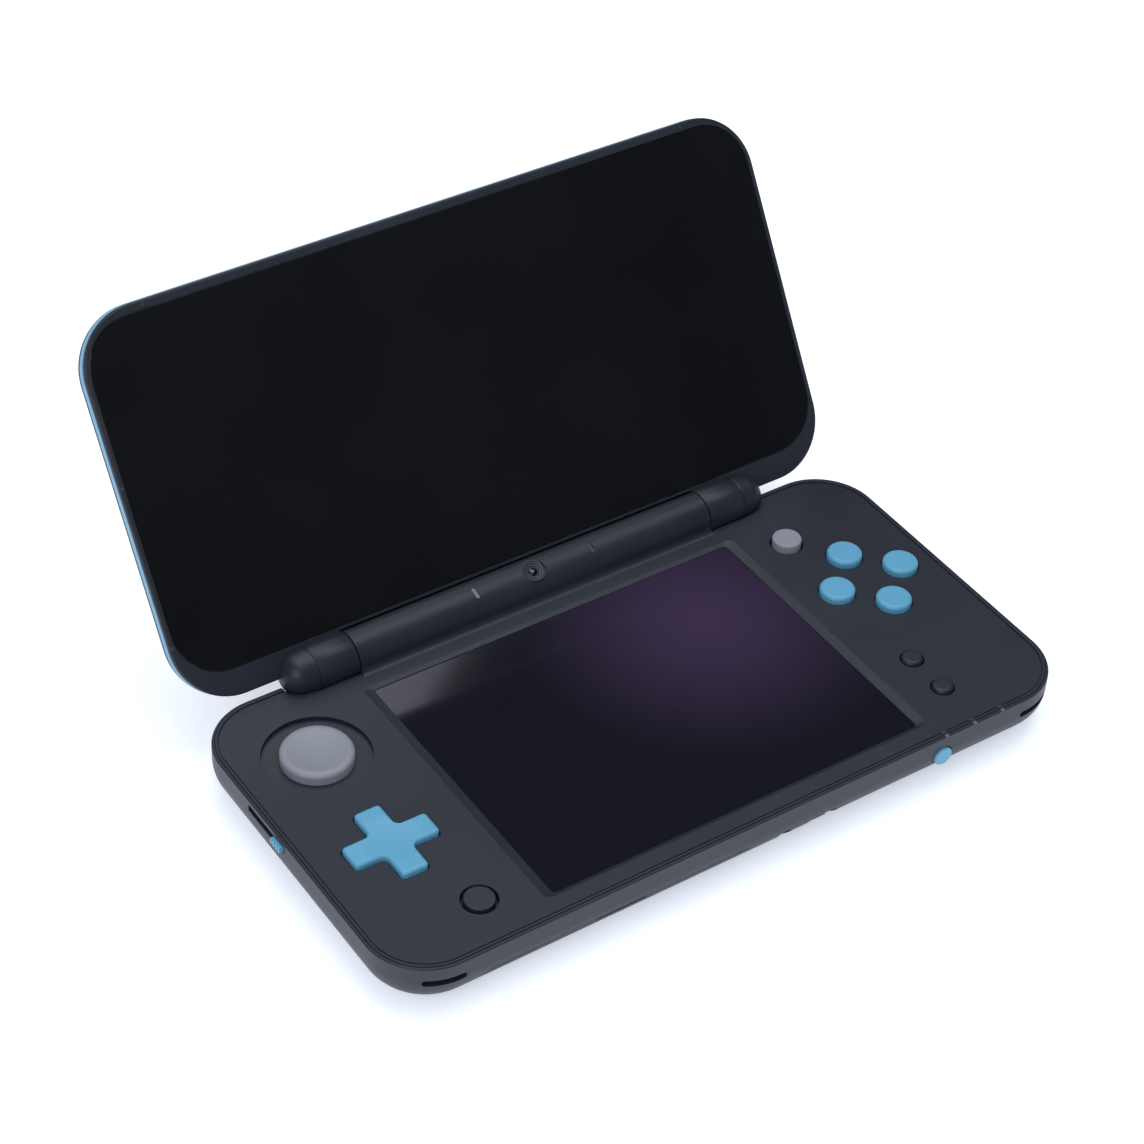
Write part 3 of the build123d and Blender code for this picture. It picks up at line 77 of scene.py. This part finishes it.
def noise(tree_nodes, links, vector, scale, detail=2.0, rough=0.5):
    tex = tree_nodes.new("ShaderNodeTexNoise")
    tex.inputs["Scale"].default_value = scale
    tex.inputs["Detail"].default_value = detail
    tex.inputs["Roughness"].default_value = rough
    links.new(vector, tex.inputs["Vector"])
    return tex.outputs["Fac"]


def span(tree_nodes, links, value, low, high, from_low=0.3, from_high=0.7):
    """Map a texture value to a range."""
    ramp = tree_nodes.new("ShaderNodeMapRange")
    ramp.inputs["From Min"].default_value = from_low
    ramp.inputs["From Max"].default_value = from_high
    ramp.inputs["To Min"].default_value = low
    ramp.inputs["To Max"].default_value = high
    links.new(value, ramp.inputs["Value"])
    return ramp.outputs["Result"]


def shade_between(tree_nodes, links, value, dark, light):
    mix = tree_nodes.new("ShaderNodeMix")
    mix.data_type = "RGBA"
    mix.inputs["A"].default_value = (*dark, 1)
    mix.inputs["B"].default_value = (*light, 1)
    links.new(value, mix.inputs["Factor"])
    return mix.outputs["Result"]


def add_bump(tree_nodes, links, shader, height, strength, distance):
    bump = tree_nodes.new("ShaderNodeBump")
    bump.inputs["Strength"].default_value = strength
    bump.inputs["Distance"].default_value = distance
    links.new(height, bump.inputs["Height"])
    links.new(bump.outputs["Normal"], shader.inputs["Normal"])


def moulded(name, colour, rough, grain=2600.0, grain_depth=0.25, mottle=0.12, specular=0.5):
    """Moulded plastic: fine spark-eroded grain, faint cloudy tone and uneven gloss."""
    mat, ns, links, shader = new_material(name)
    space = object_space(ns, links)
    cloud = noise(ns, links, space, 38.0, 3.0)
    fine = noise(ns, links, space, grain, 1.0)
    dark = [c * (1 - mottle) for c in colour]
    light = [c * (1 + mottle) for c in colour]
    tone = span(ns, links, cloud, 0.0, 1.0)
    links.new(shade_between(ns, links, tone, dark, light), shader.inputs["Base Color"])
    links.new(span(ns, links, cloud, rough - 0.04, rough + 0.04), shader.inputs["Roughness"])
    add_bump(ns, links, shader, fine, grain_depth, 0.00003)
    shader.inputs["Specular IOR Level"].default_value = specular
    return mat


def glossy(name, colour, rough, smudge=0.03, coat=1.0):
    """Polished cover glass with faint finger marks in its gloss."""
    mat, ns, links, shader = new_material(name)
    space = object_space(ns, links)
    marks = noise(ns, links, space, 26.0, 5.0, 0.6)
    links.new(span(ns, links, marks, rough, rough + smudge), shader.inputs["Roughness"])
    tone = span(ns, links, marks, 0.0, 1.0)
    deep = [c * 0.7 for c in colour]
    links.new(shade_between(ns, links, tone, deep, colour), shader.inputs["Base Color"])
    shader.inputs["Coat Weight"].default_value = coat
    shader.inputs["Coat Roughness"].default_value = 0.02
    return mat


def painted_reflection_glass(name, colour, painted_reflection_colour, centre, reach):
    """Cover glass with a painted reflection: a soft coloured patch painted into the dark
    display's colour round one point.
    """
    mat, ns, links, shader = new_material(name)
    space = object_space(ns, links)
    distance = ns.new("ShaderNodeVectorMath")
    distance.operation = "DISTANCE"
    distance.inputs[1].default_value = centre
    links.new(space, distance.inputs[0])
    # Painted reflection: the colour fades from the patch colour at the centre to the glass colour
    # at the reach.
    painted_reflection_falloff = ns.new("ShaderNodeMapRange")
    painted_reflection_falloff.interpolation_type = "SMOOTHSTEP"
    painted_reflection_falloff.inputs["From Min"].default_value = 0.0
    painted_reflection_falloff.inputs["From Max"].default_value = reach
    painted_reflection_falloff.inputs["To Min"].default_value = 1.0
    painted_reflection_falloff.inputs["To Max"].default_value = 0.0
    links.new(distance.outputs["Value"], painted_reflection_falloff.inputs["Value"])
    links.new(shade_between(ns, links, painted_reflection_falloff.outputs["Result"], colour, painted_reflection_colour),
              shader.inputs["Base Color"])
    marks = noise(ns, links, space, 26.0, 5.0, 0.6)
    links.new(span(ns, links, marks, 0.05, 0.08), shader.inputs["Roughness"])
    shader.inputs["Specular Tint"].default_value = (1.0, 0.84, 0.95, 1)
    return mat


def ribbed(name, colour):
    """Moulded cover with fine straight ribs that run up the lid, their grooves painted darker as
    shade.
    """
    mat, ns, links, shader = new_material(name)
    space = object_space(ns, links)
    ribs = ns.new("ShaderNodeTexWave")
    ribs.bands_direction = "X"
    ribs.inputs["Scale"].default_value = 250.0
    links.new(space, ribs.inputs["Vector"])
    # Painted shade: the colour goes darker where the ribs' bump height is low, in the grooves.
    low = [c * 0.6 for c in colour]
    links.new(shade_between(ns, links, ribs.outputs["Fac"], low, colour),
              shader.inputs["Base Color"])
    shader.inputs["Roughness"].default_value = 0.42
    add_bump(ns, links, shader, ribs.outputs["Fac"], 0.8, 0.00012)
    return mat


def brushed(name, colour, rough, stretch=(1, 30, 1)):
    mat, ns, links, shader = new_material(name)
    space = object_space(ns, links, stretch)
    lines = noise(ns, links, space, 260.0, 3.0)
    dark = [c * 0.8 for c in colour]
    tone = span(ns, links, lines, 0.0, 1.0)
    links.new(shade_between(ns, links, tone, dark, colour), shader.inputs["Base Color"])
    links.new(span(ns, links, lines, rough - 0.08, rough + 0.08), shader.inputs["Roughness"])
    add_bump(ns, links, shader, lines, 0.2, 0.00002)
    shader.inputs["Metallic"].default_value = 1.0
    return mat


def laminate(name):
    """Solder-masked circuit board with a fine pattern of copper runs."""
    mat, ns, links, shader = new_material(name)
    space = object_space(ns, links)
    cells = ns.new("ShaderNodeTexVoronoi")
    cells.feature = "DISTANCE_TO_EDGE"
    cells.inputs["Scale"].default_value = 420.0
    links.new(space, cells.inputs["Vector"])
    tone = span(ns, links, cells.outputs["Distance"], 0.0, 1.0, 0.02, 0.12)
    links.new(shade_between(ns, links, tone, (0.05, 0.16, 0.09), (0.012, 0.07, 0.035)),
              shader.inputs["Base Color"])
    links.new(span(ns, links, tone, 0.3, 0.45, 0, 1), shader.inputs["Roughness"])
    add_bump(ns, links, shader, cells.outputs["Distance"], 0.2, 0.00003)
    return mat


def mesh_cloth(name):
    mat, ns, links, shader = new_material(name)
    space = object_space(ns, links)
    holes = ns.new("ShaderNodeTexVoronoi")
    holes.inputs["Scale"].default_value = 2600.0
    holes.inputs["Randomness"].default_value = 0.0
    links.new(space, holes.inputs["Vector"])
    tone = span(ns, links, holes.outputs["Distance"], 0.0, 1.0, 0.25, 0.5)
    links.new(shade_between(ns, links, tone, (0.004, 0.004, 0.004), (0.05, 0.05, 0.055)),
              shader.inputs["Base Color"])
    shader.inputs["Roughness"].default_value = 0.8
    add_bump(ns, links, shader, holes.outputs["Distance"], 0.5, 0.00008)
    return mat


BLACK = (0.0165, 0.0195, 0.0285)
TURQUOISE = (0.098, 0.320, 0.480)
GREY = (0.222, 0.230, 0.258)
COVER_BLACK = (0.012, 0.013, 0.017)
# Painted reflection: colour, centre and reach of a purple patch painted into the touch glass
# colour.
PAINTED_REFLECTION_PURPLE = (0.042, 0.026, 0.058)
PAINTED_REFLECTION_CENTRE = Vector((26, 14, 11)) * MM     # on the lower screen, right of its middle
PAINTED_REFLECTION_REACH = 46 * MM
SHEEN_LIGHT = (0.88, 0.93, 1.0)
FLOOR_GLOW = 0.45
BEZEL_ROUND = 0.12 * MM
SMALL_ROUND = 0.1 * MM

MATERIALS = {
    "shell_black": moulded("shell_black", BLACK, 0.46, specular=0.45),
    "cover_black": moulded("cover_black", COVER_BLACK, 0.42),
    "turquoise": moulded("turquoise", TURQUOISE, 0.38, grain=1800.0, grain_depth=0.08,
                         mottle=0.03),
    "pad_grey": moulded("pad_grey", GREY, 0.48, grain=1500.0, grain_depth=0.3, mottle=0.04),
    "screen_glass": glossy("screen_glass", (0.0082, 0.0085, 0.0095), 0.06),
    "display": glossy("display", (0.010, 0.008, 0.013), 0.1),
    "circuit_board": laminate("circuit_board"),
    "silicone": moulded("silicone", (0.03, 0.03, 0.033), 0.75, grain_depth=0.4),
    "sheet_metal": brushed("sheet_metal", (0.58, 0.59, 0.61), 0.32),
    "inner_plastic": moulded("inner_plastic", (0.025, 0.025, 0.028), 0.5),
    "speaker_cloth": mesh_cloth("speaker_cloth"),
    "light_pipe": moulded("light_pipe", (0.10, 0.102, 0.112), 0.3, grain_depth=0.05, mottle=0.05),
    "lens_glass": glossy("lens_glass", (0.006, 0.006, 0.010), 0.03, smudge=0.01),
    "battery_wrap": brushed("battery_wrap", (0.18, 0.19, 0.20), 0.4, (1, 1, 1)),
    "button_black": moulded("button_black", BLACK, 0.42),
}
# Touch glass with a painted purple reflection patch.
TOUCH_GLASS_PAINTED_REFLECTION = painted_reflection_glass("touch_glass_painted_reflection", (0.0085, 0.0085, 0.0125), PAINTED_REFLECTION_PURPLE, PAINTED_REFLECTION_CENTRE,
                            PAINTED_REFLECTION_REACH)
LENS_DARK = glossy("lens_dark", (0.004, 0.004, 0.006), 0.12, smudge=0.02, coat=0.3)
RIBBED = ribbed("ribbed_cover", COVER_BLACK)


def dress(obj, mat):
    obj.data.materials.clear()
    obj.data.materials.append(mat)


def soften(obj, width, angle=38.0):
    """Round a moulded part's crisp edges so that they catch the light."""
    weld = obj.modifiers.new("weld", "WELD")
    weld.merge_threshold = 0.000004
    bevel = obj.modifiers.new("edge_round", "BEVEL")
    bevel.width = width
    bevel.segments = 2
    bevel.limit_method = "ANGLE"
    bevel.angle_limit = math.radians(angle)
    bevel.harden_normals = True


slots = {p["node"]: p["material_slot"] for p in frame["record"]["subparts"]}
for node_name, node in nodes.items():
    dress(node, MATERIALS[slots[node_name]])
dress(nodes["touch_panel"], TOUCH_GLASS_PAINTED_REFLECTION)
dress(nodes["lid_back_panel"], RIBBED)


# ---------------------------------------------------------------- stage, light, camera
def area_light(name, place, aim, size, power, colour):
    data = bpy.data.lights.new(name, "AREA")
    data.shape = "RECTANGLE"
    data.size, data.size_y = size
    data.energy = power
    data.color = colour
    lamp = bpy.data.objects.new(name, data)
    lamp.location = place
    direction = Vector(aim) - Vector(place)
    lamp.rotation_euler = direction.to_track_quat("-Z", "Y").to_euler()
    bpy.context.scene.collection.objects.link(lamp)
    return lamp


def make_floor():
    mesh = bpy.data.meshes.new("floor")
    half = 4.0
    z = cad_box[0][2]
    mesh.from_pydata([(-half, -half, z), (half, -half, z), (half, half, z), (-half, half, z)], [],
                     [(0, 1, 2, 3)])
    floor = bpy.data.objects.new("floor", mesh)
    bpy.context.scene.collection.objects.link(floor)
    mat, ns, links, shader = new_material("paper")
    space = object_space(ns, links)
    grain = noise(ns, links, space, 40.0, 3.0)
    links.new(shade_between(ns, links, grain, (0.80, 0.81, 0.84), (0.84, 0.85, 0.87)),
              shader.inputs["Base Color"])
    shader.inputs["Roughness"].default_value = 0.8
    shader.inputs["Emission Color"].default_value = (0.86, 0.915, 1.0, 1)
    shader.inputs["Emission Strength"].default_value = FLOOR_GLOW
    dress(floor, mat)


def make_camera():
    """The camera as solved from the object's straight edges."""
    azimuth, elevation, roll = (math.radians(a) for a in (-35.99, 40.53, 3.28))
    back = Vector((math.sin(azimuth) * math.cos(elevation),
                   -math.cos(azimuth) * math.cos(elevation), math.sin(elevation)))
    right = (-back).cross(Vector((0, 0, 1))).normalized()
    up = right.cross(-back)
    turned_right = math.cos(roll) * right + math.sin(roll) * up
    turned_up = -math.sin(roll) * right + math.cos(roll) * up
    data = bpy.data.cameras.new("camera")
    data.lens = 92.65
    data.sensor_width = 36.0
    data.clip_start = 0.01
    camera = bpy.data.objects.new("camera", data)
    turn = Matrix((turned_right, turned_up, back)).transposed().to_4x4()
    camera.matrix_world = Matrix.Translation(Vector((-0.2650, -0.3395, 0.4123))) @ turn
    bpy.context.scene.collection.objects.link(camera)
    bpy.context.scene.camera = camera


def make_light():
    world = bpy.data.worlds.new("studio")
    bpy.context.scene.world = world
    world.use_nodes = True
    sky = world.node_tree.nodes["Background"]
    sky.inputs["Color"].default_value = (0.88, 0.92, 1.0, 1)
    sky.inputs["Strength"].default_value = 0.74
    world.cycles_visibility.glossy = False
    area_light("top_soft", (0.17, 0.22, 1.05), (0, 0.03, 0), (0.9, 0.7), 5.6, SHEEN_LIGHT)
    area_light("left_soft", (-0.55, -0.35, 0.5), (0, 0, 0.02), (0.45, 0.45), 2.0, SHEEN_LIGHT)


make_floor()
make_camera()
make_light()
bpy.context.scene.view_settings.view_transform = "Standard"


# ---------------------------------------------------------------- moulded edges
for node_name in ("lid_frame", "lid_rim", "lid_back_cover"):
    soften(nodes[node_name], BEZEL_ROUND)
for node_name in ("card_door", "shoulder_button_left", "shoulder_button_right",
                  "trigger_button_left", "trigger_button_right", "volume_knob"):
    soften(nodes[node_name], SMALL_ROUND)


# ---------------------------------------------------------------- camera in the barrel
def turned(name, profile, place, material):
    """Solid of revolution about its own Z, from (radius, height) pairs in millimetres."""
    steps = 64
    bm = bmesh.new()
    rings = []
    for radius, height in profile:
        if radius == 0:
            rings.append([bm.verts.new((0, 0, height * MM))])
            continue
        turns = [2 * math.pi * i / steps for i in range(steps)]
        rings.append([bm.verts.new((radius * MM * math.cos(t), radius * MM * math.sin(t),
                                    height * MM)) for t in turns])
    for lower, upper in zip(rings, rings[1:]):
        for i in range(steps):
            j = (i + 1) % steps
            corners = [lower[i % len(lower)], lower[j % len(lower)], upper[j % len(upper)],
                       upper[i % len(upper)]]
            bm.faces.new(list(dict.fromkeys(corners)))
    bmesh.ops.recalc_face_normals(bm, faces=bm.faces)
    mesh = bpy.data.meshes.new(name)
    bm.to_mesh(mesh)
    bm.free()
    for face in mesh.polygons:
        face.use_smooth = True
    mesh.set_sharp_from_angle(angle=math.radians(35))
    obj = bpy.data.objects.new(name, mesh)
    obj.matrix_world = place
    bpy.context.scene.collection.objects.link(obj)
    dress(obj, material)
    return obj


HINGE_AXIS = Vector((0, 40.4, 13.1)) * MM
BARREL_R = 4.8 * MM
CAMERA_TILT = math.radians(20)              # from straight up towards the player
RING_PROFILE = [
    (0, -1.1), (2.55, -1.1), (2.55, -0.35), (2.35, -0.35), (2.2, -0.5), (1.85, -0.55),
    (1.75, -0.75), (1.35, -0.8), (1.2, -1.0), (0, -1.0)]
LENS_PROFILE = [(0, -1.0), (1.0, -1.0), (0.92, -0.86), (0.7, -0.74), (0.4, -0.67), (0, -0.65)]

camera_place = (Matrix.Translation(HINGE_AXIS) @ Matrix.Rotation(CAMERA_TILT, 4, "X")
                @ Matrix.Translation((0, 0, BARREL_R)))
window = turned("camera_window_ring", RING_PROFILE, camera_place, MATERIALS["button_black"])
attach(window, "base")
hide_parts("camera_window")
lens = turned("camera_lens", LENS_PROFILE, camera_place, LENS_DARK)
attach(lens, "base")
